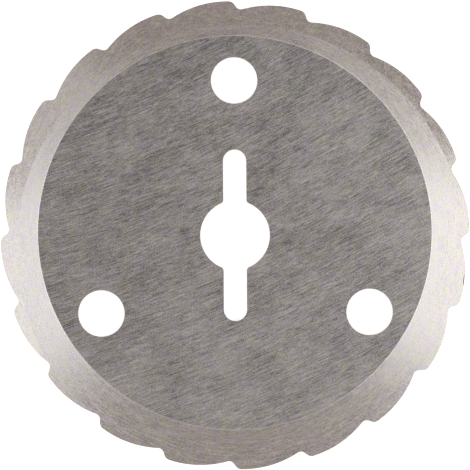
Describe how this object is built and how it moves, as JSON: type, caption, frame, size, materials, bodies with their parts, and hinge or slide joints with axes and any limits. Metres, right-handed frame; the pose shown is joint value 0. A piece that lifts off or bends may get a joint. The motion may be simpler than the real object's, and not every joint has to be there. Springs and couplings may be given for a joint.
{
  "type": "rotary cutter blade",
  "caption": "Round steel blade with toothed rim ground on one side, slotted centre bore and pin holes, that shears cloth, carpet or card in a battery cutter.",
  "frame": {"origin": "on the axis of the centre bore, at the flat back face that the blade lies on", "axes": "+Z along the bore axis from the flat back to the bevelled side; +Y along the slot, towards the pin hole in line with it"},
  "size_m": [0.0506, 0.0506, 0.0012],
  "materials": {
    "ground_steel": "flat faces ground with fine, slightly curved lines that run across the blade, and a bevel ground in circles"
  },
  "bodies": {
    "root": {"blade": "ground_steel"}
  },
  "joints": []
}
